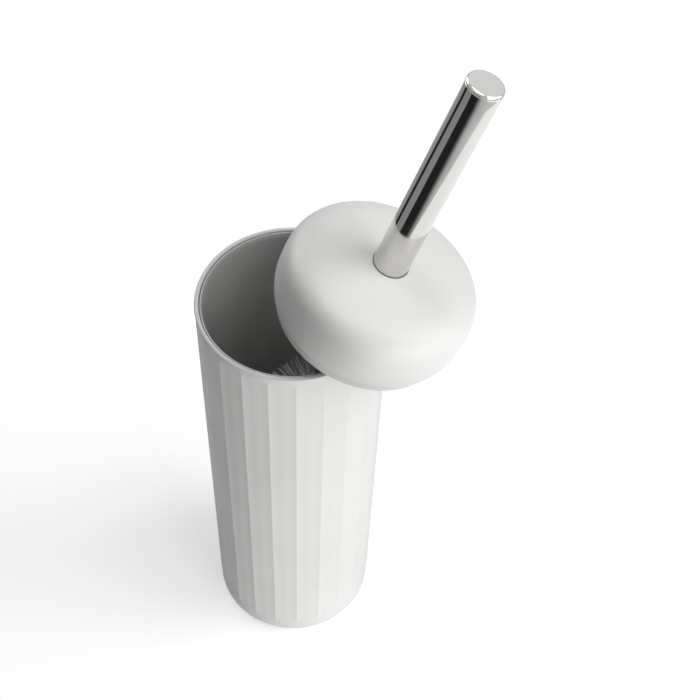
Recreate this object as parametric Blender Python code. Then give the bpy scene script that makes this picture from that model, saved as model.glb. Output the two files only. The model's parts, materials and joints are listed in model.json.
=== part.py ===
"""Toilet brush holder: fluted steel canister, removable liner, and a brush with a domed lid.

Metres, +Z up. The origin is the centre of the non-slip pad's underside, on the floor.
The brush is put back askew: it leans to +X, with its lid's lower edge resting on the rim.
"""
import math

import bmesh
import bpy
from mathutils import Vector

MM = 0.001
GAP = 0.3 * MM                      # clearance between neighbouring pieces

# Canister: pressed sheet steel, fluted, with a rolled rim
RIM_TOP = 271.5 * MM
RIM_RADIUS = 47.4 * MM
BEAD_RADIUS = 1.15 * MM             # of the rolled edge's round section
SHEET = 0.6 * MM
ARRIS_RADIUS_TOP = 47.2 * MM        # crest of the ridge between two flutes
ARRIS_RADIUS_BOTTOM = 46.7 * MM
FLUTES = 22
FLUTE_DEPTH = 0.45 * MM
FLUTE_OFFSET = math.radians(14.2)   # heading of one ridge's crest from +X
RIDGE_HALF = 0.32                   # half the ridge's width, as a share of a flute
FLUTE_STOPS = (0.0, 0.16, 0.32, 0.68, 0.84)   # where the wall's points stand in each flute
PLAIN_TOP = 4.0 * MM                # height of the plain band under the rim
PLAIN_BOTTOM = 9.0 * MM
FADE_TOP = 2.5 * MM                 # height in which the flutes die out
FADE_BOTTOM = 4.0 * MM
BASE_FLANGE_RADIUS = 42.2 * MM      # the body's bottom edge is turned in to here

# Base disc and pad
FOOT = 0.4 * MM                     # the pad stands this proud of the body
BASE_THICKNESS = 1.2 * MM
PAD_RADIUS = BASE_FLANGE_RADIUS - GAP

# Liner
LINER_RADIUS_TOP = RIM_RADIUS - 2 * BEAD_RADIUS - GAP
LINER_RADIUS_BOTTOM = 43.9 * MM
LINER_WALL = 1.3 * MM
LINER_DROP = 1.0 * MM               # from the rim's top down to the liner's lip
LINER_CORNER = 6.0 * MM

# Brush axis: the centre of the lid's lower edge, and the lean of the axis from +Z
SEAT = (33.6 * MM, -11.35 * MM, RIM_TOP + 3.4 * MM)
LEAN = math.radians(16.9)
LEAN_HEADING = math.radians(9.55)   # from +X towards +Y

# Lid, in the brush's own frame: z is 0 at its lower edge
LID_RADIUS = 47.0 * MM
LID_EDGE_RADIUS = 41.75 * MM
LID_WAIST = 15.3 * MM               # height of the widest circle
LID_CROWN = 40.3 * MM
LID_WALL = 2.0 * MM
SHOULDER_POWER = 4.45
TUCK_POWER = 1.3
LIP_HEIGHT = 8.0 * MM               # the dome and the ring below it meet here
BOSS_RADIUS = 9.0 * MM
BOSS_BOTTOM = 25.0 * MM
SOCKET_RADIUS = 8.8 * MM            # shallow seat that the handle stands in
SOCKET_DEPTH = 1.1 * MM

# Handle
HANDLE_RADIUS = 8.4 * MM
HANDLE_WALL = 0.8 * MM
HANDLE_TOP = 150.0 * MM
SEAL_THICKNESS = 0.5 * MM
CAP_THICKNESS = 1.7 * MM
CAP_EDGE = 1.25 * MM
CAP_SKIRT = 9.0 * MM
INSERT_LENGTH = 22.0 * MM

# Stem
STUD_RADIUS = 3.0 * MM
STEM_RADIUS = 4.0 * MM
STUD_TOP = 58.0 * MM
NUT_ACROSS_FLATS = 10.0 * MM
NUT_HEIGHT = 5.0 * MM
WASHER_THICKNESS = 1.0 * MM

# Brush head
HEAD_TOP = -52.0 * MM               # upper end of the head's threaded socket
CORE_TOP = -66.0 * MM
CORE_BOTTOM = -150.0 * MM
CORE_RADIUS = 8.0 * MM
TUFT_ROWS = 8
TUFT_FIRST = -72.0 * MM
TUFT_LAST = -146.0 * MM
TUFT_HEIGHT = 7.0 * MM
HEAD_RADIUS = 25.4 * MM
HEAD_MIDDLE = -108.0 * MM
HEAD_TIP = -166.0 * MM

ROUND = 24                          # sides of an ordinary turned piece
WIDE = 48                           # sides of a wide one


def clear_scene():
    for obj in list(bpy.data.objects):
        bpy.data.objects.remove(obj, do_unlink=True)


def material(name, colour, roughness, metallic=0.0):
    mat = bpy.data.materials.new(name)
    mat.use_nodes = True
    shader = mat.node_tree.nodes["Principled BSDF"]
    shader.inputs["Base Color"].default_value = (*colour, 1.0)
    shader.inputs["Roughness"].default_value = roughness
    shader.inputs["Metallic"].default_value = metallic
    mat.diffuse_color = (*colour, 1.0)
    return mat


def add_object(name, bm, mat, parent=None, sharp=30.0):
    """Close off a bmesh as a smooth-shaded object with outward faces."""
    bmesh.ops.recalc_face_normals(bm, faces=bm.faces)
    mesh = bpy.data.meshes.new(name)
    bm.to_mesh(mesh)
    bm.free()
    mesh.shade_smooth()
    mesh.set_sharp_from_angle(angle=math.radians(sharp))
    mesh.materials.append(mat)
    obj = bpy.data.objects.new(name, mesh)
    bpy.context.collection.objects.link(obj)
    obj.parent = parent
    return obj


def ring_points(radius, z, angles, radial=None):
    """One circle of points; radial(angle) adds to its radius."""
    points = []
    for angle in angles:
        r = radius + (radial(angle) if radial else 0.0)
        points.append((r * math.cos(angle), r * math.sin(angle), z))
    return points


def turned(name, outline, mat, parent=None, segments=ROUND, closed=False, radials=None, angles=None):
    """Turn (radius, z) points about Z.

    An open outline is capped with a flat disc at both ends. A closed one makes a ring,
    its last circle joined to its first. radials gives a radius change for each circle,
    and angles the points' headings where they aren't evenly spaced.
    """
    if angles is None:
        angles = [2 * math.pi * i / segments for i in range(segments)]
    segments = len(angles)
    bm = bmesh.new()
    rings = []
    for i, (radius, z) in enumerate(outline):
        radial = radials[i] if radials else None
        rings.append([bm.verts.new(p) for p in ring_points(radius, z, angles, radial)])
    pairs = list(zip(rings, rings[1:]))
    if closed:
        pairs.append((rings[-1], rings[0]))
    else:
        bm.faces.new(rings[0])
        bm.faces.new(rings[-1])
    for low, high in pairs:
        for i in range(segments):
            j = (i + 1) % segments
            bm.faces.new((low[i], low[j], high[j], high[i]))
    return add_object(name, bm, mat, parent)


def arc(centre_r, centre_z, radius, start, end, steps):
    """Points of an arc in the (radius, z) plane; angles in degrees from +radius."""
    points = []
    for i in range(steps + 1):
        angle = math.radians(start + (end - start) * i / steps)
        points.append((centre_r + radius * math.cos(angle), centre_z + radius * math.sin(angle)))
    return points


# ---------------------------------------------------------------- canister

def flute_shape(share):
    """Radius change around the body: wide shallow panels between sharp-crested ridges."""
    def radial(angle):
        turn = (angle - FLUTE_OFFSET) / (2 * math.pi) * FLUTES
        across = abs(turn - round(turn))            # 0 at a crest, 0.5 mid-panel
        ridge = max(0.0, 1.0 - across / RIDGE_HALF) ** 1.7
        return -FLUTE_DEPTH * share * (1.0 - ridge)
    return radial


def flute_angles():
    """Headings of the wall's points, with one on every crest."""
    return [FLUTE_OFFSET + 2 * math.pi * (i + stop) / FLUTES
            for i in range(FLUTES) for stop in FLUTE_STOPS]


def arris_radius(z):
    share = (z - FOOT) / (RIM_TOP - FOOT)
    return ARRIS_RADIUS_BOTTOM + (ARRIS_RADIUS_TOP - ARRIS_RADIUS_BOTTOM) * share


def build_canister_body(mat):
    """Fluted wall with its rim rolled to a bead and its bottom edge turned in."""
    plain = 0.5 * FLUTE_DEPTH
    bead_r = RIM_RADIUS - BEAD_RADIUS
    bead_z = RIM_TOP - BEAD_RADIUS
    outside = [
        (FOOT + 0.5 * MM, 0.5 * MM, 0.0),
        (FOOT + PLAIN_BOTTOM, 0.0, 0.0),
        (FOOT + PLAIN_BOTTOM + FADE_BOTTOM, 0.0, 1.0),
        (RIM_TOP - PLAIN_TOP - FADE_TOP, 0.0, 1.0),
        (RIM_TOP - PLAIN_TOP, 0.0, 0.0),
    ]
    outline = [(BASE_FLANGE_RADIUS, FOOT), (ARRIS_RADIUS_BOTTOM - plain - 0.5 * MM, FOOT)]
    shares = [0.0, 0.0]
    for z, step_in, share in outside:
        at_plain = plain * (1.0 - share)
        outline.append((arris_radius(z) - at_plain - 0.2 * step_in, z))
        shares.append(share)
    bead = arc(bead_r, bead_z, BEAD_RADIUS, -60, 225, 6)
    outline += bead
    shares += [0.0] * len(bead)
    inner_top = bead_z - 3.0 * MM
    step = FLUTE_DEPTH + SHEET
    outline += [(arris_radius(inner_top) - step, inner_top), (ARRIS_RADIUS_BOTTOM - step, FOOT + SHEET),
                (BASE_FLANGE_RADIUS, FOOT + SHEET)]
    shares += [0.0] * 3
    radials = [flute_shape(share) if share else None for share in shares]
    turned("canister_body", outline, mat, closed=True, radials=radials, angles=flute_angles())


def build_canister_base(mat):
    """Pressed disc that lies on the body's turned-in flange, with a shallow stiffening step."""
    low = FOOT + SHEET + GAP
    radius = ARRIS_RADIUS_BOTTOM - FLUTE_DEPTH - SHEET - GAP
    outline = [
        (1.0 * MM, low), (radius - 0.4 * MM, low), (radius, low + 0.4 * MM),
        (radius, low + BASE_THICKNESS), (24.0 * MM, low + BASE_THICKNESS),
        (22.5 * MM, low + BASE_THICKNESS + 0.8 * MM), (1.0 * MM, low + BASE_THICKNESS + 0.8 * MM),
    ]
    turned("canister_base", outline, mat, segments=WIDE)


def build_pad(mat):
    """Soft disc glued under the base; two grooves let it grip a wet floor."""
    top = FOOT + SHEET
    outline = [(8.0 * MM, 0.0)]
    for groove in (22.0 * MM, 32.0 * MM):
        outline += [(groove, 0.0), (groove + 0.4 * MM, 0.5 * MM),
                    (groove + 1.6 * MM, 0.5 * MM), (groove + 2.0 * MM, 0.0)]
    outline += [(PAD_RADIUS - 0.5 * MM, 0.0), (PAD_RADIUS, 0.5 * MM), (PAD_RADIUS, top), (8.0 * MM, top)]
    turned("non_slip_pad", outline, mat, segments=WIDE)


# ---------------------------------------------------------------- liner

def build_liner(mat):
    """Deep straight-sided cup that drops into the canister, open at the top."""
    floor = FOOT + SHEET + GAP + BASE_THICKNESS + 0.8 * MM + GAP
    top = RIM_TOP - LINER_DROP
    outer = arc(LINER_RADIUS_BOTTOM - LINER_CORNER, floor + LINER_CORNER, LINER_CORNER, -90, 0, 5)
    inner = arc(LINER_RADIUS_BOTTOM - LINER_CORNER, floor + LINER_CORNER,
                LINER_CORNER - LINER_WALL, 0, -90, 5)
    inner_top = LINER_RADIUS_TOP - LINER_WALL
    outline = [(2.0 * MM, floor)] + outer
    outline += [(LINER_RADIUS_TOP, top - 4.0 * MM), (LINER_RADIUS_TOP, top - 0.4 * MM),
                (LINER_RADIUS_TOP - 0.4 * MM, top), (inner_top + 0.4 * MM, top),
                (inner_top, top - 0.4 * MM)]
    outline += inner + [(2.0 * MM, floor + LINER_WALL)]
    turned("liner_cup", outline, mat, segments=WIDE)


# ---------------------------------------------------------------- brush frame

def brush_frame(name, height=0.0, parent=None):
    """Empty on the brush's own axis; its local +Z points up the handle."""
    empty = bpy.data.objects.new(name, None)
    bpy.context.collection.objects.link(empty)
    if parent:
        empty.parent = parent
        empty.location = (0, 0, height)
        return empty
    axis = Vector((math.sin(LEAN) * math.cos(LEAN_HEADING),
                   math.sin(LEAN) * math.sin(LEAN_HEADING), math.cos(LEAN)))
    empty.location = SEAT
    empty.rotation_mode = "QUATERNION"
    empty.rotation_quaternion = Vector((0, 0, 1)).rotation_difference(axis)
    return empty


# ---------------------------------------------------------------- lid

def lid_height(r, radius, crown):
    """Height of the domed upper side at radius r: a superellipse above the widest circle."""
    share = min(1.0, r / radius) ** SHOULDER_POWER
    return LID_WAIST + (crown - LID_WAIST) * (1.0 - share) ** (1.0 / SHOULDER_POWER)


def lid_tuck(z, radius, edge):
    """Radius of the tucked-in lower side at height z below the widest circle."""
    share = ((LID_WAIST - z) / LID_WAIST) ** TUCK_POWER
    return edge + (radius - edge) * (1.0 - share) ** (1.0 / TUCK_POWER)


def build_lid_shell(mat, parent):
    """Hollow dome with a central boss inside, a bore for the stud and a seat for the handle."""
    bore = STUD_RADIUS + GAP
    seat_z = LID_CROWN - SOCKET_DEPTH
    bottom = LIP_HEIGHT + GAP
    inner_radius = LID_RADIUS - LID_WALL
    inner_edge = LID_EDGE_RADIUS - LID_WALL
    inner_crown = LID_CROWN - LID_WALL - SOCKET_DEPTH
    shares = (0.30, 0.55, 0.72, 0.83, 0.90, 0.95, 0.98, 0.995)
    outline = [(bore, seat_z), (SOCKET_RADIUS, seat_z), (SOCKET_RADIUS, LID_CROWN - 0.4 * MM),
               (SOCKET_RADIUS + 0.5 * MM, LID_CROWN)]
    outline += [(LID_RADIUS * s, lid_height(LID_RADIUS * s, LID_RADIUS, LID_CROWN)) for s in shares]
    outline.append((LID_RADIUS, LID_WAIST))
    for share in (0.85, 0.7):
        z = LID_WAIST * share
        outline.append((lid_tuck(z, LID_RADIUS, LID_EDGE_RADIUS), z))
    outline.append((lid_tuck(bottom, LID_RADIUS, LID_EDGE_RADIUS), bottom))
    outline.append((lid_tuck(bottom, inner_radius, inner_edge), bottom))
    outline.append((lid_tuck(LID_WAIST * 0.75, inner_radius, inner_edge), LID_WAIST * 0.75))
    outline.append((inner_radius, LID_WAIST))
    outline += [(inner_radius * s, lid_height(inner_radius * s, inner_radius, inner_crown))
                for s in (0.98, 0.93, 0.83, 0.70, 0.45)]
    outline += [(BOSS_RADIUS, inner_crown), (BOSS_RADIUS - 0.6 * MM, BOSS_BOTTOM), (bore, BOSS_BOTTOM)]
    turned("lid_shell", outline, mat, parent, segments=WIDE, closed=True)


def build_lid_lip(mat, parent):
    """Ring that carries the dome's lower side down to the edge, with an upstand inside."""
    edge = LID_EDGE_RADIUS
    inner = edge - 2.7 * MM
    upstand = lid_tuck(LIP_HEIGHT, LID_RADIUS - LID_WALL, edge - LID_WALL) - GAP
    outline = [(inner, 0.0), (edge - 0.4 * MM, 0.0)]
    for z in (0.4 * MM, 0.3 * LIP_HEIGHT, 0.65 * LIP_HEIGHT, LIP_HEIGHT):
        outline.append((lid_tuck(z, LID_RADIUS, edge), z))
    outline += [
        (upstand, LIP_HEIGHT), (upstand, LIP_HEIGHT + 3.5 * MM),
        (upstand - 1.2 * MM, LIP_HEIGHT + 3.5 * MM), (upstand - 1.2 * MM, LIP_HEIGHT - 1.5 * MM),
    ]
    turned("lid_lip_ring", outline, mat, parent, segments=WIDE, closed=True)


def build_lid_washer(mat, parent):
    top = BOSS_BOTTOM - GAP
    bore = STUD_RADIUS + GAP
    outline = [(bore, top - WASHER_THICKNESS), (8.0 * MM, top - WASHER_THICKNESS), (8.0 * MM, top),
               (bore, top)]
    turned("lid_washer", outline, mat, parent, closed=True)


def build_lid_nut(mat, parent):
    """Hexagon nut with chamfered corners."""
    top = BOSS_BOTTOM - WASHER_THICKNESS - 2 * GAP
    bore = STUD_RADIUS + GAP
    corner = NUT_ACROSS_FLATS / 2 / math.cos(math.pi / 6)

    def hexagon(angle):
        from_flat = (angle + math.pi / 6) % (math.pi / 3) - math.pi / 6
        return NUT_ACROSS_FLATS / 2 / math.cos(from_flat) - corner

    chamfer = 0.5 * MM
    bottom = top - NUT_HEIGHT
    outline = [(bore, bottom), (corner - chamfer, bottom), (corner, bottom + chamfer),
               (corner, top - chamfer), (corner - chamfer, top), (bore, top)]
    radials = [None, hexagon, hexagon, hexagon, hexagon, None]
    turned("lid_lock_nut", outline, mat, parent, segments=24, closed=True, radials=radials)


# ---------------------------------------------------------------- handle

def build_handle_seal(mat, parent):
    low = LID_CROWN - SOCKET_DEPTH + GAP
    bore = STUD_RADIUS + GAP
    radius = HANDLE_RADIUS - 0.5 * MM
    high = low + SEAL_THICKNESS
    outline = [(bore, low), (radius, low), (radius, high), (bore, high)]
    turned("handle_seal", outline, mat, parent, closed=True)


def handle_bottom():
    return LID_CROWN - SOCKET_DEPTH + 2 * GAP + SEAL_THICKNESS


def build_handle_tube(mat, parent):
    low = handle_bottom()
    high = HANDLE_TOP - CAP_THICKNESS - GAP
    bore = HANDLE_RADIUS - HANDLE_WALL
    ease = 0.2 * MM
    outline = [(bore, low), (HANDLE_RADIUS - ease, low), (HANDLE_RADIUS, low + ease),
               (HANDLE_RADIUS, high - ease), (HANDLE_RADIUS - ease, high), (bore, high)]
    turned("handle_tube", outline, mat, parent, segments=WIDE, closed=True)


def build_handle_cap(mat, parent):
    """Cap whose rounded head covers the tube's end and whose skirt plugs its bore."""
    low = HANDLE_TOP - CAP_THICKNESS
    skirt = HANDLE_RADIUS - HANDLE_WALL - GAP
    outline = [(skirt - 0.6 * MM, low - CAP_SKIRT), (skirt, low - CAP_SKIRT + 0.6 * MM), (skirt, low),
               (HANDLE_RADIUS, low)]
    outline += arc(HANDLE_RADIUS - CAP_EDGE, HANDLE_TOP - CAP_EDGE - 0.15 * MM, CAP_EDGE, 0, 80, 5)
    outline.append((1.5 * MM, HANDLE_TOP))
    turned("handle_end_cap", outline, mat, parent, segments=WIDE)


def build_handle_insert(mat, parent):
    """Threaded plug fixed in the tube's lower end, which the stud screws into."""
    low = handle_bottom() + 1.0 * MM
    radius = HANDLE_RADIUS - HANDLE_WALL - GAP
    bore = STUD_RADIUS + GAP
    high = low + INSERT_LENGTH
    outline = [(bore, low), (radius, low)]
    for i in range(4):
        z = low + (i + 0.7) * INSERT_LENGTH / 4.7
        outline += [(radius, z), (radius - 0.5 * MM, z + 0.5 * MM), (radius - 0.5 * MM, z + 1.5 * MM),
                    (radius, z + 2.0 * MM)]
    outline += [(radius, high), (bore, high)]
    turned("handle_insert", outline, mat, parent, segments=24, closed=True)


# ---------------------------------------------------------------- stem and head

def build_stem(mat, parent):
    """Rod with a slimmer threaded stud at each end."""
    shoulder = 12.0 * MM
    lower = HEAD_TOP + GAP
    tip = HEAD_TOP - 11.0 * MM
    ease = 0.5 * MM
    outline = [(STUD_RADIUS - ease, tip), (STUD_RADIUS, tip + ease), (STUD_RADIUS, lower),
               (STEM_RADIUS - ease, lower), (STEM_RADIUS, lower + ease), (STEM_RADIUS, shoulder - ease),
               (STEM_RADIUS - ease, shoulder), (STUD_RADIUS, shoulder), (STUD_RADIUS, STUD_TOP - ease),
               (STUD_RADIUS - ease, STUD_TOP)]
    turned("stem_rod", outline, mat, parent, segments=24)


def build_head_socket(mat, parent):
    """Ferrule of the head: a blind threaded bore, a grip of shallow ribs and a flared foot."""
    bore = STUD_RADIUS + GAP
    bottom = CORE_TOP + GAP
    blind = HEAD_TOP - 12.0 * MM
    outline = [(bore, HEAD_TOP), (5.4 * MM, HEAD_TOP), (6.0 * MM, HEAD_TOP - 0.6 * MM)]
    for i in range(3):
        z = HEAD_TOP - (2.0 + 3.0 * i) * MM
        outline += [(6.0 * MM, z), (5.6 * MM, z - 0.4 * MM), (5.6 * MM, z - 1.2 * MM),
                    (6.0 * MM, z - 1.6 * MM)]
    outline += [(6.6 * MM, HEAD_TOP - 11.0 * MM), (CORE_RADIUS, bottom + 0.8 * MM), (CORE_RADIUS, bottom),
                (1.0 * MM, bottom)]
    outline = [(1.0 * MM, blind), (bore, blind)] + outline
    turned("head_socket", outline, mat, parent, segments=ROUND)


def head_radius(z):
    """Outer radius of the bristles at height z: a barrel, rounded to its lower tip."""
    if z > HEAD_MIDDLE:
        share = (z - HEAD_MIDDLE) / (CORE_TOP - HEAD_MIDDLE)
        return HEAD_RADIUS - 3.4 * MM * share ** 2
    share = (HEAD_MIDDLE - z) / (HEAD_MIDDLE - HEAD_TIP)
    return HEAD_RADIUS * (1.0 - 0.9 * share ** 3) ** 0.5


def build_brush_core(mat, parent):
    """Moulded body that the tufts are set in, with a waist above each row and a round nose."""
    pitch = (TUFT_FIRST - TUFT_LAST) / (TUFT_ROWS - 1)
    outline = [(CORE_RADIUS, CORE_TOP)]
    for i in range(TUFT_ROWS - 1):
        z = TUFT_FIRST - (i + 0.5) * pitch
        outline += [(CORE_RADIUS, z + 1.2 * MM), (CORE_RADIUS - 0.4 * MM, z), (CORE_RADIUS, z - 1.2 * MM)]
    outline += arc(0.0, CORE_BOTTOM + 3.0 * MM, CORE_RADIUS, 0, -70, 4)
    turned("brush_core", outline, mat, parent, segments=ROUND)


def build_tuft_rows(mat, parent):
    """One soft ring for each row of tufts, standing on the core."""
    pitch = (TUFT_FIRST - TUFT_LAST) / (TUFT_ROWS - 1)
    inner = CORE_RADIUS + GAP
    for i in range(TUFT_ROWS):
        z = TUFT_FIRST - i * pitch
        outer = head_radius(z - TUFT_HEIGHT / 2)
        root = TUFT_HEIGHT * 0.3
        tip = TUFT_HEIGHT * 0.5
        outline = [(inner, z - root), (outer - 1.5 * MM, z - tip), (outer, z - tip + 1.2 * MM),
                   (outer, z + tip - 1.2 * MM), (outer - 1.5 * MM, z + tip), (inner, z + root)]
        turned(f"tuft_row_{i + 1}", outline, mat, parent, segments=24, closed=True)


def build_tip_tufts(mat, parent):
    """Soft cap for the tufts that point down from the core's nose."""
    top = TUFT_LAST - TUFT_HEIGHT / 2 - GAP
    nose = arc(0.0, CORE_BOTTOM + 3.0 * MM, CORE_RADIUS + 2 * GAP, -15, -78, 4)
    outer = head_radius(top - 2.0 * MM)
    hole = nose[-1][0]
    outline = nose + [(hole, HEAD_TIP), (outer * 0.45, HEAD_TIP + 1.0 * MM),
                      (outer * 0.8, HEAD_TIP + 6.0 * MM), (outer, top - 2.0 * MM),
                      (outer - 1.5 * MM, top)]
    turned("tip_tufts", outline, mat, parent, segments=24, closed=True)


def main():
    clear_scene()
    white_steel = material("white_steel", (0.80, 0.80, 0.79), 0.42)
    base_steel = material("base_steel", (0.62, 0.62, 0.61), 0.45)
    pad_rubber = material("pad_rubber", (0.08, 0.08, 0.08), 0.8)
    grey_plastic = material("liner_plastic", (0.13, 0.13, 0.13), 0.5)
    white_plastic = material("lid_plastic", (0.80, 0.80, 0.79), 0.4)
    lip_plastic = material("lip_plastic", (0.74, 0.74, 0.73), 0.45)
    chrome = material("chrome", (0.82, 0.82, 0.82), 0.06, 1.0)
    seal_rubber = material("seal_rubber", (0.05, 0.05, 0.05), 0.7)
    insert_plastic = material("insert_plastic", (0.5, 0.5, 0.5), 0.5)
    steel = material("stem_steel", (0.6, 0.6, 0.6), 0.25, 1.0)
    core_plastic = material("core_plastic", (0.78, 0.78, 0.77), 0.45)
    nylon = material("bristle_nylon", (0.85, 0.85, 0.84), 0.55)

    build_canister_body(white_steel)
    build_canister_base(base_steel)
    build_pad(pad_rubber)
    build_liner(grey_plastic)

    brush = brush_frame("brush_axis")
    build_lid_shell(white_plastic, brush)
    build_lid_lip(lip_plastic, brush)
    build_lid_washer(steel, brush)
    build_lid_nut(steel, brush)
    build_handle_seal(seal_rubber, brush)
    build_handle_tube(chrome, brush)
    build_handle_cap(chrome, brush)
    build_handle_insert(insert_plastic, brush)
    build_stem(steel, brush)

    head = brush_frame("head_axis", parent=brush)
    build_head_socket(core_plastic, head)
    build_brush_core(core_plastic, head)
    build_tuft_rows(nylon, head)
    build_tip_tufts(nylon, head)


main()
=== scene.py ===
"""Looks for the toilet brush holder: fluted white canister, grey liner, domed lid, chrome handle.

Metres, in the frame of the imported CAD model. Every size is read from the CAD nodes, and the
brush's pieces are drawn upright about their own axis and then leaned over onto it.
"""

import json
import math
import random

import bmesh
import bpy
from mathutils import Matrix, Vector


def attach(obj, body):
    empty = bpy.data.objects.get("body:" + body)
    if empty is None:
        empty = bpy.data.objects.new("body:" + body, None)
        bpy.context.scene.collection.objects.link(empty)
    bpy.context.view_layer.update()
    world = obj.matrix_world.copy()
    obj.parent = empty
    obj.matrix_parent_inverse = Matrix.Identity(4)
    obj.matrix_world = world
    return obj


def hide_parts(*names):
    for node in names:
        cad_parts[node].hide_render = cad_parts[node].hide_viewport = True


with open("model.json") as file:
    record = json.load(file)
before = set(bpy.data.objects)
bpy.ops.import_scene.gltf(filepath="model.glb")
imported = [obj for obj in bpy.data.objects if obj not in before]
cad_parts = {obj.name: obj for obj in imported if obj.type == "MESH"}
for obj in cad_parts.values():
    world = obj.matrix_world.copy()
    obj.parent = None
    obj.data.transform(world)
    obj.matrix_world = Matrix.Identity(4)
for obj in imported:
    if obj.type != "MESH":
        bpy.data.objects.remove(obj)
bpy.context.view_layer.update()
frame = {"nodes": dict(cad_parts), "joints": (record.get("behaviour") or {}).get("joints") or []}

MM = 0.001
FLUTES = 22
FLUTE_DEPTH = 0.45 * MM
FLUTE_OFFSET = math.radians(14.2)   # heading of one ridge's crest
RIDGE_HALF = 0.32                   # half a ridge's width, as a share of a flute
TUFT_ROWS = 8


# ---------------------------------------------------------------- the frame's own measures

def brush_placement():
    """Matrix of the brush's own frame: origin in the lid's lower edge plane, +Z up the handle."""
    joint = next(j for j in frame["joints"] if j["name"] == "head_unscrew")
    up = -Vector(joint["axis"]).normalized()
    point = Vector(joint["pos_m"])
    lip = frame["nodes"]["lid_lip_ring"].data.vertices
    low = min((v.co - point).dot(up) for v in lip)
    turn = Vector((0, 0, 1)).rotation_difference(up).to_matrix().to_4x4()
    return Matrix.Translation(point + up * low) @ turn


BRUSH = brush_placement()
UPRIGHT = Matrix.Identity(4)


def measure(node, placement=UPRIGHT):
    """Lowest and highest z of a CAD node, and its outer radius, about the placement's axis."""
    back = placement.inverted()
    points = [back @ v.co for v in frame["nodes"][node].data.vertices]
    heights = [p.z for p in points]
    return min(heights), max(heights), max(math.hypot(p.x, p.y) for p in points)


# ---------------------------------------------------------------- mesh building

def finish_mesh(name, bm, placement, sharp):
    bm.transform(placement)
    bmesh.ops.recalc_face_normals(bm, faces=bm.faces)
    mesh = bpy.data.meshes.new(name)
    bm.to_mesh(mesh)
    bm.free()
    mesh.shade_smooth()
    if sharp:
        mesh.set_sharp_from_angle(angle=math.radians(sharp))
    obj = bpy.data.objects.new(name, mesh)
    bpy.context.scene.collection.objects.link(obj)
    return obj


def lathe(name, outline, placement=UPRIGHT, segments=128, closed=True, radial=None, sharp=35.0, start=0.0):
    """Turn (radius, z) points about Z. radial(angle, index) adds to a circle's radius.

    A closed outline's last circle joins its first; an open one ends in a point or a flat disc.
    """
    bm = bmesh.new()
    rings = []
    for index, (radius, z) in enumerate(outline):
        ring = []
        for i in range(segments):
            angle = start + 2 * math.pi * i / segments
            r = radius + (radial(angle, index) if radial else 0.0)
            ring.append(bm.verts.new((r * math.cos(angle), r * math.sin(angle), z)))
        rings.append(ring)
    pairs = list(zip(rings, rings[1:]))
    if closed:
        pairs.append((rings[-1], rings[0]))
    else:
        for ring, (radius, z) in ((rings[0], outline[0]), (rings[-1], outline[-1])):
            centre = bm.verts.new((0, 0, z))
            for i in range(segments):
                bm.faces.new((ring[i], ring[(i + 1) % segments], centre))
    for low, high in pairs:
        for i in range(segments):
            j = (i + 1) % segments
            bm.faces.new((low[i], low[j], high[j], high[i]))
    return finish_mesh(name, bm, placement, sharp)


def rounded(corners, steps=4):
    """Outline through (radius, z, fillet) corners of a closed loop, each corner rounded."""
    outline = []
    count = len(corners)
    for i, (r, z, fillet) in enumerate(corners):
        here = Vector((r, z))
        if fillet == 0:
            outline.append((r, z))
            continue
        before = Vector(corners[i - 1][:2]) - here
        after = Vector(corners[(i + 1) % count][:2]) - here
        reach = min(fillet, 0.45 * before.length, 0.45 * after.length)
        start = here + before.normalized() * reach
        end = here + after.normalized() * reach
        for k in range(steps + 1):
            t = k / steps
            point = start * (1 - t) ** 2 + here * (2 * t * (1 - t)) + end * t ** 2
            outline.append((point.x, point.y))
    return outline


def arc(centre_r, centre_z, radius, start, end, steps):
    """Points of an arc; angles in degrees, from +radius towards +z."""
    points = []
    for i in range(steps + 1):
        angle = math.radians(start + (end - start) * i / steps)
        points.append((centre_r + radius * math.cos(angle), centre_z + radius * math.sin(angle)))
    return points


def smooth_step(t):
    t = min(1.0, max(0.0, t))
    return t * t * (3 - 2 * t)


def put(piece, body, material, slot, *nodes):
    """Give a finished piece its material and its body, and hide the CAD nodes it stands for."""
    piece.data.materials.append(material)
    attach(piece, body)
    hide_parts(*nodes)
    return piece


# ---------------------------------------------------------------- materials

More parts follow.
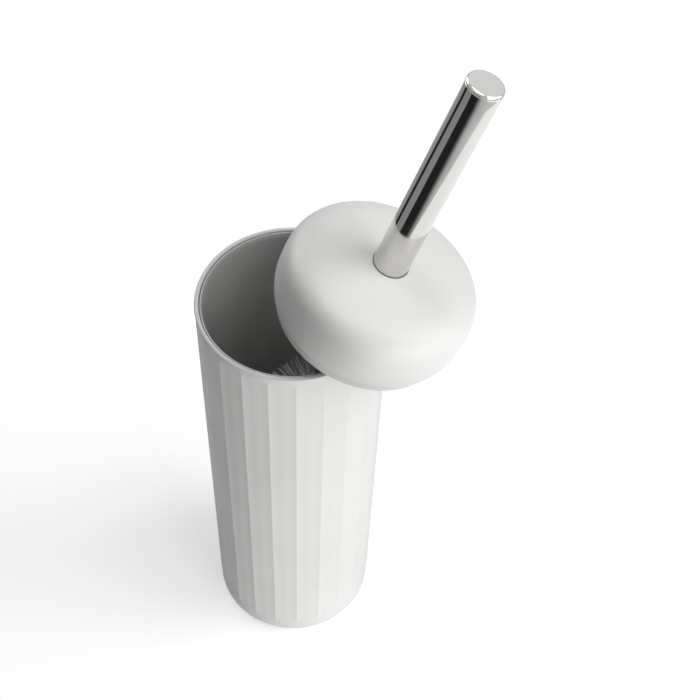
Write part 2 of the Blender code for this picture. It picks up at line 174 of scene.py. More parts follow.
class Nodes:
    """Short hand for building a material's node tree around its Principled shader."""

    def __init__(self, name):
        self.material = bpy.data.materials.new(name)
        self.material.use_nodes = True
        self.tree = self.material.node_tree
        self.shader = self.tree.nodes["Principled BSDF"]
        self.place = self.tree.nodes.new("ShaderNodeTexCoord").outputs["Object"]

    def set(self, **values):
        for name, value in values.items():
            self.shader.inputs[name.replace("_", " ")].default_value = value

    def link(self, output, socket):
        self.tree.links.new(output, self.shader.inputs[socket])

    def stretched(self, scale, lean=None):
        node = self.tree.nodes.new("ShaderNodeMapping")
        node.inputs["Scale"].default_value = scale
        if lean:
            node.vector_type = "TEXTURE"
            node.inputs["Rotation"].default_value = lean
            node.inputs["Scale"].default_value = [1.0 / s for s in scale]
        self.tree.links.new(self.place, node.inputs["Vector"])
        return node.outputs["Vector"]

    def noise(self, scale, detail=4.0, roughness=0.5, vector=None):
        node = self.tree.nodes.new("ShaderNodeTexNoise")
        node.inputs["Scale"].default_value = scale
        node.inputs["Detail"].default_value = detail
        node.inputs["Roughness"].default_value = roughness
        self.tree.links.new(vector or self.place, node.inputs["Vector"])
        return node.outputs["Fac"]

    def cells(self, scale, feature="F1", vector=None):
        node = self.tree.nodes.new("ShaderNodeTexVoronoi")
        node.feature = feature
        node.inputs["Scale"].default_value = scale
        self.tree.links.new(vector or self.place, node.inputs["Vector"])
        return node.outputs["Distance"]

    def between(self, value, low, high, to_low=0.0, to_high=1.0):
        """Map a value from one range to another."""
        node = self.tree.nodes.new("ShaderNodeMapRange")
        for name, number in (("From Min", low), ("From Max", high), ("To Min", to_low), ("To Max", to_high)):
            node.inputs[name].default_value = number
        self.tree.links.new(value, node.inputs["Value"])
        return node.outputs["Result"]

    def mix(self, factor, first, second):
        """Mix two colours; either may be a colour or another node's output."""
        node = self.tree.nodes.new("ShaderNodeMix")
        node.data_type = "RGBA"
        self.tree.links.new(factor, node.inputs["Factor"])
        for socket, colour in ((node.inputs[6], first), (node.inputs[7], second)):
            if isinstance(colour, tuple):
                socket.default_value = (*colour, 1.0)
            else:
                self.tree.links.new(colour, socket)
        return node.outputs[2]

    def math(self, operation, first, second):
        node = self.tree.nodes.new("ShaderNodeMath")
        node.operation = operation
        for socket, value in zip(node.inputs, (first, second)):
            if isinstance(value, (int, float)):
                socket.default_value = value
            else:
                self.tree.links.new(value, socket)
        return node.outputs[0]

    def bump(self, height, strength, distance):
        node = self.tree.nodes.new("ShaderNodeBump")
        node.inputs["Strength"].default_value = strength
        node.inputs["Distance"].default_value = distance
        self.tree.links.new(height, node.inputs["Height"])
        self.link(node.outputs["Normal"], "Normal")


def powder_coat(name, colour, shade):
    """Matt powder coat: fine orange peel, a little unevenness of tone and faint handling marks."""
    m = Nodes(name)
    m.set(Specular_IOR_Level=0.42)
    cloud = m.noise(14.0, 5.0, 0.6)
    speck = m.between(m.noise(1400.0, 2.0), 0.62, 0.78)
    base = m.mix(m.between(cloud, 0.35, 0.65), shade, colour)
    darker = tuple(c * 0.88 for c in colour)
    m.link(m.mix(m.math("MULTIPLY", speck, 0.25), base, darker), "Base Color")
    scuffs = m.noise(60.0, 6.0, 0.7, m.stretched((1.0, 1.0, 0.35)))
    m.link(m.between(scuffs, 0.3, 0.75, 0.38, 0.52), "Roughness")
    peel = m.math("ADD", m.noise(900.0, 2.0), m.math("MULTIPLY", m.noise(260.0, 3.0), 0.7))
    m.bump(peel, 0.10, 0.00006)
    return m.material


def satin_plastic(name, colour, shade, roughness, grain=0.12):
    """Moulded satin plastic: very fine spark-eroded grain, soft flow marks and light rubbing."""
    m = Nodes(name)
    m.set(Specular_IOR_Level=0.5)
    flow = m.noise(9.0, 3.0, 0.5, m.stretched((1.0, 1.0, 2.2)))
    dust = m.between(m.noise(75.0, 7.0, 0.7), 0.55, 0.80)
    base = m.mix(m.between(flow, 0.35, 0.65), shade, colour)
    m.link(m.mix(m.math("MULTIPLY", dust, 0.30), base, shade), "Base Color")
    rub = m.noise(34.0, 6.0, 0.65)
    m.link(m.between(rub, 0.3, 0.7, roughness - 0.05, roughness + 0.07), "Roughness")
    grain_height = m.math("ADD", m.noise(1700.0, 2.0), m.math("MULTIPLY", m.noise(420.0, 3.0), 0.5))
    m.bump(grain_height, grain, 0.00004)
    return m.material


def chrome_plate(name, lean):
    """Bright chrome: polishing lines round the tube, faint water marks, and a trace of wear."""
    m = Nodes(name)
    m.set(Metallic=1.0)
    smudge = m.between(m.noise(48.0, 6.0, 0.6), 0.45, 0.75)
    m.link(m.mix(m.math("MULTIPLY", smudge, 0.5), (0.67, 0.66, 0.645), (0.60, 0.59, 0.57)), "Base Color")
    marks = m.between(m.noise(120.0, 8.0, 0.7), 0.40, 0.80, 0.035, 0.13)
    m.link(marks, "Roughness")
    lines = m.noise(16.0, 3.0, 0.5, m.stretched((6.0, 6.0, 260.0), lean))
    m.bump(lines, 0.05, 0.00002)
    return m.material


def drawn_steel(name, lean):
    """Drawn stainless steel with fine lines along the rod."""
    m = Nodes(name)
    m.set(Metallic=1.0)
    lines = m.noise(40.0, 4.0, 0.6, m.stretched((60.0, 60.0, 1.5), lean))
    m.link(m.mix(m.between(lines, 0.3, 0.7), (0.46, 0.46, 0.45), (0.62, 0.61, 0.60)), "Base Color")
    m.link(m.between(m.noise(90.0, 5.0), 0.3, 0.7, 0.22, 0.36), "Roughness")
    m.bump(lines, 0.15, 0.00004)
    return m.material


def nylon(name):
    """White nylon filament: slightly glassy, a little yellower and duller in places."""
    m = Nodes(name)
    m.set(Roughness=0.32, Specular_IOR_Level=0.5, IOR=1.53, Subsurface_Weight=0.25, Subsurface_Scale=0.001)
    m.shader.inputs["Subsurface Radius"].default_value = (1.0, 0.95, 0.9)
    tone = m.between(m.noise(260.0, 4.0), 0.3, 0.7)
    m.link(m.mix(tone, (0.74, 0.74, 0.71), (0.90, 0.90, 0.88)), "Base Color")
    m.link(m.between(m.noise(900.0, 2.0), 0.3, 0.7, 0.26, 0.42), "Roughness")
    m.bump(m.noise(2400.0, 2.0), 0.1, 0.00003)
    return m.material


def foam_rubber(name, colour):
    """Closed-cell foam rubber: dark, very matt, with small pores."""
    m = Nodes(name)
    m.set(Specular_IOR_Level=0.3)
    pores = m.cells(700.0)
    lighter = tuple(c * 1.8 for c in colour)
    m.link(m.mix(m.between(pores, 0.1, 0.6), colour, lighter), "Base Color")
    m.link(m.between(m.noise(40.0, 5.0), 0.3, 0.7, 0.75, 0.92), "Roughness")
    m.bump(pores, 0.5, 0.0002)
    return m.material


LEAN = BRUSH.to_euler()
WHITE_STEEL = powder_coat("white_powder_coat", (0.80, 0.80, 0.785), (0.765, 0.765, 0.75))
BASE_STEEL = powder_coat("grey_base_coat", (0.56, 0.56, 0.55), (0.50, 0.50, 0.49))
LID_WHITE = satin_plastic("white_lid_plastic", (0.80, 0.80, 0.785), (0.77, 0.77, 0.755), 0.42)
LIP_WHITE = satin_plastic("white_lip_plastic", (0.70, 0.70, 0.685), (0.66, 0.66, 0.645), 0.40)
LINER_GREY = satin_plastic("liner_grey_plastic", (0.66, 0.66, 0.65), (0.61, 0.61, 0.60), 0.42, 0.2)
CORE_WHITE = satin_plastic("core_white_plastic", (0.78, 0.78, 0.77), (0.72, 0.72, 0.70), 0.45)
INSERT_GREY = satin_plastic("insert_plastic_grey", (0.45, 0.45, 0.45), (0.38, 0.38, 0.38), 0.5)
CHROME = chrome_plate("bright_chrome", LEAN)
STEEL = drawn_steel("stem_drawn_steel", LEAN)
NYLON = nylon("nylon_filament")
PAD_RUBBER = foam_rubber("pad_foam_rubber", (0.035, 0.035, 0.035))
SEAL_RUBBER = foam_rubber("seal_black_rubber", (0.02, 0.02, 0.02))


# ---------------------------------------------------------------- canister

def flute(angle):
    """Radius change across the flutes: wide shallow panels between sharp-crested ridges."""
    turn = (angle - FLUTE_OFFSET) / (2 * math.pi) * FLUTES
    across = abs(turn - round(turn))
    ridge = max(0.0, 1.0 - across / RIDGE_HALF) ** 1.7
    return -FLUTE_DEPTH * (1.0 - ridge)


def make_canister():
    """Pressed wall with flutes that die out in plain bands, rolled rim, turned-in bottom edge."""
    low, top, radius = measure("canister_body")
    bead = 1.13 * MM
    crest_top = radius - 0.18 * MM
    crest_low = radius - 0.68 * MM
    plain = 0.5 * FLUTE_DEPTH
    wall = 0.6 * MM
    inside_step = FLUTE_DEPTH + wall
    corner = 0.6 * MM

    def crest(z):
        return crest_low + (crest_top - crest_low) * (z - low) / (top - low)

    outline, shares = [], []

    def add(r, z, share=0.0):
        outline.append((r, z))
        shares.append(share)

    flange = measure("non_slip_pad")[2] + 0.3 * MM
    add(flange, low)
    for r, z in arc(crest(low) - plain - corner, low + corner, corner, -90, 0, 6):
        add(r, z)
    bottom_start, bottom_full = low + 8.5 * MM, low + 13.0 * MM
    top_full, top_end = top - 6.5 * MM, top - 3.8 * MM
    add(crest(bottom_start) - plain, bottom_start)
    for i in range(1, 9):
        z = bottom_start + (bottom_full - bottom_start) * i / 8
        share = smooth_step(i / 8)
        add(crest(z) - plain * (1 - share), z, share)
    for i in range(1, 25):
        z = bottom_full + (top_full - bottom_full) * i / 24
        add(crest(z), z, 1.0)
    for i in range(1, 9):
        z = top_full + (top_end - top_full) * i / 8
        share = 1.0 - smooth_step(i / 8)
        add(crest(z) - plain * (1 - share), z, share)
    add(crest(top) - plain - 0.12 * MM, top - 2.45 * MM)
    for r, z in arc(radius - bead, top - bead, bead, -62, 238, 22):
        add(r, z)
    inner_top = top - 2.6 * MM
    add(crest(inner_top) - inside_step, inner_top)
    add(crest(low) - inside_step, low + wall)
    add(flange, low + wall)

    piece = lathe("canister_shell", outline, segments=FLUTES * 20, start=FLUTE_OFFSET, sharp=17.0,
                  radial=lambda angle, index: shares[index] * flute(angle))
    return put(piece, "canister", WHITE_STEEL, "white_steel", "canister_body")


def make_base():
    """Base disc with a pressed step and a shallow dish, seen from below round the pad's edge."""
    low, high, radius = measure("canister_base")
    step = high - 0.8 * MM
    outline = [(0.5 * MM, low)] + [
        (radius - 0.7 * MM, low), (radius - 0.2 * MM, low + 0.2 * MM), (radius, low + 0.6 * MM),
        (radius, step - 0.2 * MM), (radius - 0.2 * MM, step), (25.0 * MM, step),
        (24.0 * MM, step + 0.15 * MM), (23.2 * MM, step + 0.6 * MM), (22.5 * MM, high), (0.5 * MM, high),
    ]
    piece = lathe("base_disc", outline, closed=False)
    return put(piece, "canister", BASE_STEEL, "base_steel", "canister_base")


def make_pad():
    """Foam pad with rounded edge and two grip grooves in its underside."""
    low, high, radius = measure("non_slip_pad")
    corners = [(0.5 * MM, low)]
    for groove in (22.0 * MM, 32.0 * MM):
        corners += [(groove, low), (groove + 0.25 * MM, low + 0.12 * MM), (groove + 0.5 * MM, low + 0.5 * MM),
                    (groove + 1.5 * MM, low + 0.5 * MM), (groove + 1.75 * MM, low + 0.12 * MM),
                    (groove + 2.0 * MM, low)]
    corners += arc(radius - 0.6 * MM, low + 0.6 * MM, 0.6 * MM, -90, 0, 5)
    corners += [(radius, high - 0.05 * MM), (0.5 * MM, high - 0.05 * MM)]
    piece = lathe("foam_pad", corners, closed=False)
    return put(piece, "canister", PAD_RUBBER, "pad_rubber", "non_slip_pad")


# ---------------------------------------------------------------- liner

def make_liner():
    """Smooth drafted cup: rolled-over lip, rounded floor with a drain ring and a gate mark."""
    low, high, radius = measure("liner_cup")
    wall = 1.3 * MM
    bottom_radius = radius - 0.9 * MM
    corner = 6.0 * MM
    outline = [(0.4 * MM, low + 0.35 * MM), (30.0 * MM, low + 0.35 * MM), (31.0 * MM, low)]
    outline += arc(bottom_radius - corner, low + corner, corner, -90, 0, 12)
    lip = 0.36 * MM
    outline += [(radius - 0.25 * MM, high - 6.0 * MM), (radius - 0.25 * MM, high - 2.4 * MM),
                (radius - 0.02 * MM, high - 2.1 * MM)]
    outline += arc(radius - lip - 0.02 * MM, high - lip, lip, 0, 170, 12)
    outline += [(radius - wall + 0.12 * MM, high - 1.8 * MM), (radius - wall, high - 3.4 * MM)]
    outline += arc(bottom_radius - corner, low + corner, corner - wall, 0, -90, 12)
    floor = low + wall
    for ring in (30.0 * MM, 20.0 * MM, 10.0 * MM):
        outline += [(ring + 1.6 * MM, floor), (ring + 0.9 * MM, floor + 0.6 * MM),
                    (ring - 0.1 * MM, floor + 0.6 * MM), (ring - 0.8 * MM, floor)]
    outline += [(2.5 * MM, floor), (2.0 * MM, floor + 0.3 * MM), (0.4 * MM, floor + 0.3 * MM)]
    piece = lathe("inner_liner", outline, segments=160, closed=False)
    return put(piece, "liner", LINER_GREY, "liner_plastic", "liner_cup")


# ---------------------------------------------------------------- lid

def dome_height(r, radius, waist, crown, power=4.45):
    share = min(1.0, r / radius) ** power
    return waist + (crown - waist) * (1.0 - share) ** (1.0 / power)


def lower_edge_radius(node, placement):
    """Radius of a CAD ring's outer side at its very bottom."""
    low = measure(node, placement)[0]
    back = placement.inverted()
    points = [back @ v.co for v in frame["nodes"][node].data.vertices]
    return max(math.hypot(p.x, p.y) for p in points if p.z < low + 0.6 * MM)


def tuck_radius(z, radius, edge, waist, power=1.3):
    share = ((waist - z) / waist) ** power
    return edge + (radius - edge) * (1.0 - share) ** (1.0 / power)


def dome(radius, waist, crown, inner, steps):
    """Outline of the upper side, from the middle out, closely spaced round the shoulder."""
    points = []
    for i in range(steps):
        angle = math.pi / 2 * (1 - i / steps)
        r = radius * math.cos(angle) ** (2 / 4.45)
        if r > inner:
            points.append((r, dome_height(r, radius, waist, crown)))
    return points + [(radius, waist)]


def make_lid():
    """Bun-shaped hollow lid: softly rounded seat for the handle and a central boss inside."""
    low, crown, radius = measure("lid_shell", BRUSH)
    edge = lower_edge_radius("lid_lip_ring", BRUSH)
    handle = measure("handle_tube", BRUSH)[2]
    stud = 3.3 * MM
    waist = 15.3 * MM
    wall = 2.0 * MM
    seat = crown - 1.1 * MM
    seat_radius = handle + 0.18 * MM
    boss, boss_low = 9.0 * MM, 25.0 * MM
    inner_crown = crown - wall - 1.1 * MM
    inner = radius - wall

    outline = [(stud, seat), (seat_radius, seat)]
    outline += arc(seat_radius + 0.5 * MM, crown - 0.5 * MM, 0.5 * MM, 180, 90, 6)
    outline += dome(radius, waist, crown, seat_radius + 1.4 * MM, 48)
    low -= 0.22 * MM
    for i in range(1, 13):
        z = waist + (low + 0.1 * MM - waist) * i / 12
        outline.append((tuck_radius(z, radius, edge, waist), z))
    outline.append((tuck_radius(low, radius, edge, waist) - 0.12 * MM, low))
    outline.append((tuck_radius(low, inner, edge - wall, waist), low))
    for i in range(1, 9):
        z = low + (waist - low) * i / 8
        outline.append((tuck_radius(z, inner, edge - wall, waist), z))
    outline += list(reversed(dome(inner, waist, inner_crown, boss + 1.5 * MM, 24)))[1:]
    outline += arc(boss + 1.2 * MM, inner_crown - 1.2 * MM, 1.2 * MM, 90, 180, 5)
    outline += [(boss - 0.5 * MM, boss_low + 0.5 * MM), (boss - 1.0 * MM, boss_low), (stud, boss_low)]
    piece = lathe("lid_dome", outline, BRUSH, segments=192, sharp=40.0)
    return put(piece, "brush", LID_WHITE, "lid_plastic", "lid_shell")


def make_lip_ring():
    """Plain conical band below the dome, with a rounded lower edge and an upstand inside."""
    low, high, _ = measure("lid_lip_ring", BRUSH)
    dome_low, _, dome_radius = measure("lid_shell", BRUSH)
    radius = lower_edge_radius("lid_lip_ring", BRUSH)
    band = dome_low - 0.3 * MM
    seam = tuck_radius(band, dome_radius, radius, 15.3 * MM)
    inner = radius - 2.7 * MM
    upstand = seam - 2.4 * MM
    corners = [(inner, low, 0.5 * MM), (radius - 0.1 * MM, low, 0.6 * MM),
               (seam - 0.06 * MM, band, 0.15 * MM),
               (upstand, band, 0.2 * MM), (upstand, high, 0.4 * MM), (upstand - 1.2 * MM, high, 0.4 * MM),
               (upstand - 1.2 * MM, band - 1.5 * MM, 1.0 * MM)]
    piece = lathe("lid_lip_band", rounded(corners, 6), BRUSH, segments=192)
    return put(piece, "brush", LIP_WHITE, "lip_plastic", "lid_lip_ring")


# ---------------------------------------------------------------- handle

def make_tube():
    """Drawn tube with a very slight rounding at both ends."""
    low, high, radius = measure("handle_tube", BRUSH)
    low -= 0.28 * MM
    bore = radius - 0.8 * MM
    outline = [(bore, low)] + arc(radius - 0.35 * MM, low + 0.35 * MM, 0.35 * MM, -90, 0, 5)
    for i in range(1, 20):
        outline.append((radius, low + (high - low) * i / 20))
    outline += arc(radius - 0.18 * MM, high - 0.18 * MM, 0.18 * MM, 0, 90, 5)
    outline.append((bore, high))
    piece = lathe("chrome_tube", outline, BRUSH, segments=128, sharp=50.0)
    return put(piece, "brush", CHROME, "chrome", "handle_tube")


def make_end_cap():
    """Pressed cap: a slightly domed face with a full rounded edge, and its skirt."""
    low, high, radius = measure("handle_end_cap", BRUSH)
    tube_top = measure("handle_tube", BRUSH)[1]
    skirt = radius - 1.1 * MM
    edge = 1.3 * MM
    dome_rise = 0.15 * MM
    face = high - dome_rise - 0.02 * MM
    under = tube_top + 0.12 * MM
    outline = [(skirt - 0.7 * MM, low), (skirt, low + 0.7 * MM), (skirt, under), (radius - 0.12 * MM, under),
               (radius, under + 0.12 * MM)]
    outline += arc(radius - edge, face - edge, edge, 0, 90, 14)[1:]
    for share in (0.9, 0.75, 0.6, 0.45, 0.3, 0.15):
        r = (radius - edge) * share
        outline.append((r, face + dome_rise * (1 - share ** 2)))
    piece = lathe("chrome_end_cap", outline, BRUSH, segments=128, closed=False, sharp=60.0)
    return put(piece, "brush", CHROME, "chrome", "handle_end_cap")


# ---------------------------------------------------------------- stem and fixings

def make_stem():
    """Rod with shouldered ends and a real helical thread on both studs."""
    low, high, radius = measure("stem_rod", BRUSH)
    head_top = measure("head_socket", BRUSH)[1]
    stud, shoulder, pitch, depth = 3.0 * MM, 12.0 * MM, 1.0 * MM, 0.45 * MM
    outline, threaded = [], []

    def add(r, z, thread=False):
        outline.append((r, z))
        threaded.append(thread)

    def thread_run(start, end):
        count = int(round((end - start) / pitch * 6))
        for i in range(count + 1):
            add(stud, start + (end - start) * i / count, True)

    add(stud - 0.7 * MM, low)
    thread_run(low + 0.6 * MM, head_top + 0.3 * MM)
    for z0, z1 in ((head_top + 0.3 * MM, shoulder),):
        for r, z in arc(radius - 0.6 * MM, z0 + 0.6 * MM, 0.6 * MM, -90, 0, 4):
            add(r, z)
        for r, z in arc(radius - 0.6 * MM, z1 - 0.6 * MM, 0.6 * MM, 0, 90, 4):
            add(r, z)
    thread_run(shoulder + 0.1 * MM, high - 0.7 * MM)
    add(stud - 0.7 * MM, high)

    def helix(angle, index):
        if not threaded[index]:
            return 0.0
        phase = (outline[index][1] / pitch - angle / (2 * math.pi)) % 1.0
        return -depth * abs(2 * phase - 1)

    piece = lathe("threaded_stem", outline, BRUSH, segments=48, closed=False, radial=helix, sharp=50.0)
    return put(piece, "brush", STEEL, "stem_steel", "stem_rod")


def make_washer():
    low, high, radius = measure("lid_washer", BRUSH)
    bore = 3.3 * MM
    corners = [(bore, low, 0.15 * MM), (radius, low, 0.25 * MM), (radius, high, 0.35 * MM),
               (bore, high, 0.15 * MM)]
    piece = lathe("steel_washer", rounded(corners), BRUSH, segments=96)
    return put(piece, "brush", STEEL, "stem_steel", "lid_washer")


def make_nut():
    """Hexagon nut whose ends are chamfered to a circle, as turned."""
    low, high, radius = measure("lid_lock_nut", BRUSH)
    flat = radius * math.cos(math.pi / 6)
    bore = 3.3 * MM
    chamfer = 0.7 * MM
    outline = [(bore, low + 0.4 * MM), (bore + 0.4 * MM, low), (flat * 0.98, low)]
    profile = [0.0, 0.35, 0.7, 1.0]
    outline += [(radius, low + chamfer * share) for share in profile]
    outline += [(radius, high - chamfer * share) for share in reversed(profile)]
    outline += [(flat * 0.98, high), (bore + 0.4 * MM, high), (bore, high - 0.4 * MM)]

    def hexagon(angle, index):
        r, z = outline[index]
        if r < radius:
            return 0.0
        from_flat = (angle + math.pi / 6) % (math.pi / 3) - math.pi / 6
        side = flat / math.cos(from_flat)
        cone = flat * 0.98 + min(z - low, high - z) * 1.7
        return min(side, cone) - radius

    piece = lathe("steel_lock_nut", outline, BRUSH, segments=96, radial=hexagon, sharp=25.0)
    return put(piece, "brush", STEEL, "stem_steel", "lid_lock_nut")


# ---------------------------------------------------------------- brush head

def make_socket():
    """Ferrule with finger ribs round its grip and a flared foot on the core."""
    low, high, radius = measure("head_socket", BRUSH)
    bore, grip = 3.3 * MM, 6.0 * MM
    blind = high - 12.0 * MM
    outline = [(0.5 * MM, low), (radius - 0.3 * MM, low), (radius, low + 0.3 * MM), (radius, low + 0.9 * MM),
               (radius - 0.6 * MM, low + 1.8 * MM), (grip + 0.4 * MM, high - 11.0 * MM)]
    outline += [(grip, high - 10.4 * MM)]
    outline += [(grip, high - 10.4 * MM + 9.4 * MM * i / 10) for i in range(1, 11)]
    grip_rows = range(6, len(outline))
    outline += arc(grip - 0.6 * MM, high - 0.6 * MM, 0.6 * MM, 0, 90, 5)
    outline += [(bore + 0.3 * MM, high), (bore, high - 0.3 * MM), (bore, blind), (0.5 * MM, blind)]

    def ribs(angle, index):
        if index not in grip_rows:
            return 0.0
        return -0.35 * MM * (0.5 - 0.5 * math.cos(angle * 16))

    piece = lathe("head_ferrule", outline, BRUSH, segments=192, closed=False, radial=ribs)
    return put(piece, "head", CORE_WHITE, "core_plastic", "head_socket")


def make_core():
    """Moulded core: a shallow waist between the tuft rows, and a round nose."""
    low, high, radius = measure("brush_core", BRUSH)
    rows = tuft_heights()
    nose = low + 7.6 * MM
    outline = [(0.5 * MM, high), (radius - 0.4 * MM, high), (radius, high - 0.4 * MM)]
    for upper, lower in zip(rows, rows[1:]):
        middle = (upper + lower) / 2
        outline += [(radius, middle + 1.4 * MM), (radius - 0.3 * MM, middle + 0.6 * MM),
                    (radius - 0.4 * MM, middle), (radius - 0.3 * MM, middle - 0.6 * MM),
                    (radius, middle - 1.4 * MM)]
    outline += [(r, z) for r, z in arc(0.0, nose, radius, 0, -84, 10)]
    outline = [(r, max(z, low)) for r, z in outline]
    piece = lathe("moulded_core", outline, BRUSH, segments=72, closed=False)
    return put(piece, "head", CORE_WHITE, "core_plastic", "brush_core")


def tuft_heights():
    heights = []
    for i in range(TUFT_ROWS):
        low, high, _ = measure(f"tuft_row_{i + 1}", BRUSH)
        heights.append((low + high) / 2)
    return heights


def add_filament(bm, root, direction, length, thickness, bow, rise):
    """One tapering four-sided filament; it bows sideways and rises towards its tip."""
    side = direction.cross(Vector((0.3, 0.2, 0.9))).normalized()
    other = direction.cross(side).normalized()
    rings = []
    steps = 6
    for i in range(steps + 1):
        t = i / steps
        centre = root + direction * (length * t) + bow * (t * t) + rise * (t ** 2.2)
        half = thickness / 2 * (1.0 - 0.45 * t)
        ring = []
        for a, b in ((1, 0), (0, 1), (-1, 0), (0, -1)):
            ring.append(bm.verts.new(centre + side * (a * half) + other * (b * half)))
        rings.append(ring)
    bm.faces.new(rings[0])
    bm.faces.new(rings[-1])
    for low, high in zip(rings, rings[1:]):
        for i in range(4):
            j = (i + 1) % 4
            bm.faces.new((low[i], low[j], high[j], high[i]))


def add_tuft(bm, root, direction, reach, rng, rise=Vector((0, 0, 0))):
    """A bunch of filaments from one hole: tight at the core, splayed a little at the tips."""
    side = direction.orthogonal().normalized()
    other = direction.cross(side).normalized()
    for _ in range(15):
        spin = rng.uniform(0, 2 * math.pi)
        spread = math.sqrt(rng.random())
        out = side * math.cos(spin) + other * math.sin(spin)
        start = root + out * (spread * 1.0 * MM)
        aim = (direction + out * (spread * rng.uniform(0.08, 0.20))).normalized()
        length = reach * rng.uniform(0.90, 0.995) / max(0.6, aim.dot(direction))
        sway = side * rng.uniform(-1, 1) + other * rng.uniform(-1, 1)
        add_filament(bm, start, aim, length, 0.28 * MM, sway * (0.045 * length),
                     rise * rng.uniform(0.75, 1.1))


def room_to_liner(root, direction):
    """Distance from a tuft's root to the liner's inner wall, less a small clearance."""
    start = BRUSH @ root
    way = (BRUSH.to_3x3() @ direction).normalized()
    wall = measure("liner_cup")[2] - 3.2 * MM
    a = way.x ** 2 + way.y ** 2
    b = start.x * way.x + start.y * way.y
    c = start.x ** 2 + start.y ** 2 - wall ** 2
    return (-b + math.sqrt(b * b - a * c)) / a


def make_tuft_row(number, z, rng):
    """Twenty tufts round the core at one height, turned half a step from the next row.

    The tufts are a little longer than the room beside the wall, where they sweep upwards.
    """
    core = measure("brush_core", BRUSH)[2]
    full = (29.0 - 0.35 * number) * MM - core * 0.93
    bm = bmesh.new()
    for i in range(20):
        angle = 2 * math.pi * (i + 0.5 * (number % 2)) / 20 + rng.uniform(-0.03, 0.03)
        lift = rng.uniform(-0.05, 0.09)
        direction = Vector((math.cos(angle), math.sin(angle), lift)).normalized()
        root = Vector((core * 0.93 * math.cos(angle), core * 0.93 * math.sin(angle), z))
        reach = min(full, room_to_liner(root, direction))
        rise = 0.75 * math.sqrt(max(0.0, full ** 2 - reach ** 2))
        add_tuft(bm, root, direction, reach, rng, Vector((0, 0, rise)))
    piece = finish_mesh(f"bristles_{number}", bm, BRUSH, 60.0)
    return put(piece, "head", NYLON, "bristle_nylon", f"tuft_row_{number}")


def make_tip_tufts(rng):
    """Tufts that fan down and out from the nose of the core."""
    low, _, radius = measure("tip_tufts", BRUSH)
    core_low, _, core = measure("brush_core", BRUSH)
    centre = Vector((0, 0, core_low + 7.6 * MM))
    bm = bmesh.new()
    for fall, count in ((22.0, 16), (42.0, 13), (62.0, 8), (82.0, 3)):
        for i in range(count):
            angle = 2 * math.pi * (i + 0.37) / count
            down = math.radians(fall)
            direction = Vector((math.cos(angle) * math.cos(down), math.sin(angle) * math.cos(down),
                                -math.sin(down)))
            root = centre + direction * (core * 0.93)
            sideways = (radius * 0.97 - math.hypot(root.x, root.y)) / max(0.05, math.cos(down))
            downwards = (root.z - low) / max(0.05, math.sin(down))
            add_tuft(bm, root, direction, min(sideways, downwards), rng)
    piece = finish_mesh("bristles_tip", bm, BRUSH, 60.0)
    return put(piece, "head", NYLON, "bristle_nylon", "tip_tufts")


def make_bristles():
    rng = random.Random(11)
    for number, z in enumerate(tuft_heights(), start=1):
        make_tuft_row(number, z, rng)
    make_tip_tufts(rng)


def dress_cad_nodes():
    """The pieces whose CAD shape is kept get their finished materials."""
    for node, material, slot in (("handle_seal", SEAL_RUBBER, "seal_rubber"),
                                 ("handle_insert", INSERT_GREY, "insert_plastic")):
        obj = frame["nodes"][node]
        obj.data.materials.clear()
        obj.data.materials.append(material)


# ---------------------------------------------------------------- stage, lights and camera

def make_floor():
    mesh = bpy.data.meshes.new("studio_floor")
    half = 3.0
    mesh.from_pydata([(-half, -half, 0), (half, -half, 0), (half, half, 0), (-half, half, 0)], [],
                     [(0, 1, 2, 3)])
    floor = bpy.data.objects.new("studio_floor", mesh)
    bpy.context.scene.collection.objects.link(floor)
    m = Nodes("studio_floor_paper")
    tone = m.between(m.noise(2.0, 3.0), 0.3, 0.7)
    m.link(m.mix(tone, (0.90, 0.90, 0.90), (0.93, 0.93, 0.93)), "Base Color")
    m.set(Roughness=0.9, Specular_IOR_Level=0.1, Emission_Color=(1, 1, 1, 1), Emission_Strength=0.36)
    mesh.materials.append(m.material)
    floor.visible_diffuse = False
    floor.visible_shadow = False


# What the chrome sees round it: a room that is brightest on the key light's side, and two
# black flags. Headings run from +X towards +Y, in degrees: where a flag starts and ends, and
# how softly it fades before and after.
ROOM_DIMMEST, ROOM_BRIGHTEST = 0.3, 0.8
FLAG_BLACK = 0.02
FLAGS = ((155.0, 170.0, 2.0, 2.0), (207.0, 240.0, 2.0, 30.0))
SCREEN_START, SCREEN_END = 110, 395
SCREEN_RADIUS, SCREEN_LOW, SCREEN_HIGH = 0.42, 0.001, 0.40

# A pale card up behind the handle, where its flat end looks from the front.
CARD_WAY = Vector((0.425, 0.666, 0.613))
CARD_DISTANCE = 0.75
CARD_HALF = 0.42
CARD_LOW_TONE, CARD_HIGH_TONE = 0.85, 1.05


def room_tone(heading):
    """Brightness of the screen at a heading: the room's, less what the flags take away."""
    tone = ROOM_DIMMEST + (ROOM_BRIGHTEST - ROOM_DIMMEST) * (1 + math.cos(math.radians(heading))) / 2
    for start, end, before, after in FLAGS:
        outside = max((start - heading) / before, (heading - end) / after, 0.0)
        tone = FLAG_BLACK + (tone - FLAG_BLACK) * smooth_step(min(1.0, outside))
    return tone


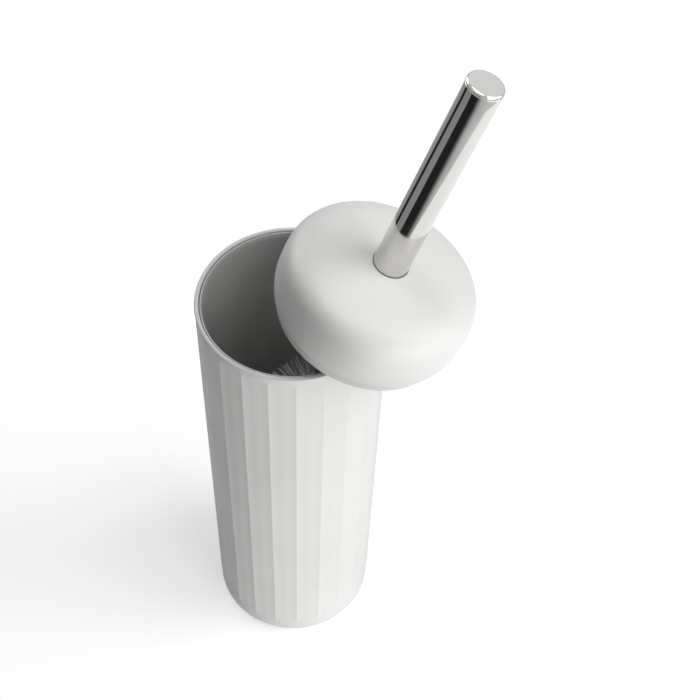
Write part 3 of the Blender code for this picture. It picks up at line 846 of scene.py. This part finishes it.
def make_reflected_flags():
    """A low curved screen and a raised card, lit by themselves, that only reflections show."""
    centre = BRUSH @ Vector((0, 0, measure("lid_shell", BRUSH)[1]))
    bm = bmesh.new()
    tone = bm.verts.layers.float.new("tone")
    previous = None
    for degrees in range(SCREEN_START, SCREEN_END + 1):
        value = room_tone(degrees)
        angle = math.radians(degrees)
        x = centre.x + SCREEN_RADIUS * math.cos(angle)
        y = centre.y + SCREEN_RADIUS * math.sin(angle)
        pair = [bm.verts.new((x, y, SCREEN_LOW)), bm.verts.new((x, y, SCREEN_HIGH))]
        for vert in pair:
            vert[tone] = value
        if previous:
            bm.faces.new((previous[0], pair[0], pair[1], previous[1]))
        previous = pair
    across = Vector((CARD_WAY.y, -CARD_WAY.x, 0)).normalized() * CARD_HALF
    upward = across.cross(CARD_WAY).normalized() * CARD_HALF
    middle = centre + CARD_WAY * CARD_DISTANCE
    corners = []
    for a, b, value in ((-1, -1, CARD_LOW_TONE), (1, -1, CARD_LOW_TONE),
                        (1, 1, CARD_HIGH_TONE), (-1, 1, CARD_HIGH_TONE)):
        corners.append(bm.verts.new(middle + across * a + upward * b))
        corners[-1][tone] = value
    bm.faces.new(corners)
    mesh = bpy.data.meshes.new("reflected_flags")
    bm.to_mesh(mesh)
    bm.free()
    screen = bpy.data.objects.new("reflected_flags", mesh)
    bpy.context.scene.collection.objects.link(screen)
    screen.visible_camera = False
    screen.visible_diffuse = False
    screen.visible_shadow = False
    screen.visible_transmission = False
    material = bpy.data.materials.new("flag_tones")
    material.use_nodes = True
    tree = material.node_tree
    tree.nodes.clear()
    attribute = tree.nodes.new("ShaderNodeAttribute")
    attribute.attribute_name = "tone"
    emission = tree.nodes.new("ShaderNodeEmission")
    output = tree.nodes.new("ShaderNodeOutputMaterial")
    tree.links.new(attribute.outputs["Fac"], emission.inputs["Strength"])
    tree.links.new(emission.outputs["Emission"], output.inputs["Surface"])
    mesh.materials.append(material)


# Soft boxes round the object: heading from +X and height in degrees, width and height in
# metres, watts. The one below the floor's level stands for the light a pale table gives back.
SOFT_BOXES = (
    ("key_right", 0.0, 35.0, 1.0, 1.5, 15.0),
    ("fill_front_right", 315.0, 15.0, 1.0, 1.0, 9.0),
    ("overhead", 0.0, 85.0, 1.0, 1.0, 8.0),
    ("table_bounce", 285.0, -25.0, 1.2, 1.2, 17.0),
    ("back_left", 135.0, 30.0, 1.0, 1.0, 10.0),
)
SOFT_BOX_DISTANCE = 1.6


def area_light(name, place, aim, size, power):
    light = bpy.data.lights.new(name, "AREA")
    light.shape = "RECTANGLE"
    light.size, light.size_y = size
    light.energy = power
    obj = bpy.data.objects.new(name, light)
    bpy.context.scene.collection.objects.link(obj)
    obj.location = place
    obj.rotation_mode = "QUATERNION"
    obj.rotation_quaternion = (Vector(aim) - Vector(place)).to_track_quat("-Z", "Y")
    obj.visible_camera = False
    return obj


def make_lights():
    """Soft boxes aimed at the object, and a pale room that only shiny surfaces see."""
    middle = Vector((20 * MM, 0, 200 * MM))
    for name, heading, height, width, tall, watts in SOFT_BOXES:
        turn, lift = math.radians(heading), math.radians(height)
        way = Vector((math.cos(turn) * math.cos(lift), math.sin(turn) * math.cos(lift), math.sin(lift)))
        area_light(name, middle + way * SOFT_BOX_DISTANCE, middle, (width, tall), watts)
    world = bpy.data.worlds.new("studio_room")
    bpy.context.scene.world = world
    world.use_nodes = True
    shader = world.node_tree.nodes["Background"]
    shader.inputs["Color"].default_value = (0.98, 0.99, 1.0, 1.0)
    shader.inputs["Strength"].default_value = 0.65
    world.cycles_visibility.diffuse = False


CAMERA_ELEVATION = math.radians(53.53)
CAMERA_ROLL = math.radians(3.03)
CAMERA_DISTANCE = 0.630
CAMERA_ASIDE = 28.85 * MM           # the aim, right of the mouth's centre
CAMERA_BELOW = 22.55 * MM           # and below it, square to the view
CAMERA_LENS = 67.35                 # on a 36 mm sensor


def make_camera():
    """Looks down on the mouth from the front, slightly rolled."""
    back = Vector((0, -math.cos(CAMERA_ELEVATION), math.sin(CAMERA_ELEVATION)))
    right = Vector((1, 0, 0))
    up = back.cross(right)
    mouth = Vector((0, 0, measure("canister_body")[1]))
    aim = mouth + right * CAMERA_ASIDE - up * CAMERA_BELOW
    x = right * math.cos(CAMERA_ROLL) + up * math.sin(CAMERA_ROLL)
    y = up * math.cos(CAMERA_ROLL) - right * math.sin(CAMERA_ROLL)
    data = bpy.data.cameras.new("camera")
    data.sensor_width = 36.0
    data.lens = CAMERA_LENS
    data.clip_start, data.clip_end = 0.02, 20.0
    camera = bpy.data.objects.new("camera", data)
    bpy.context.scene.collection.objects.link(camera)
    turn = Matrix((x, y, back)).transposed().to_4x4()
    camera.matrix_world = Matrix.Translation(aim + back * CAMERA_DISTANCE) @ turn
    bpy.context.scene.camera = camera


make_canister()
make_base()
make_pad()
make_liner()
make_lid()
make_lip_ring()
make_tube()
make_end_cap()
make_stem()
make_washer()
make_nut()
make_socket()
make_core()
make_bristles()
dress_cad_nodes()
make_floor()
make_reflected_flags()
make_lights()
make_camera()
bpy.context.scene.view_settings.view_transform = "Standard"
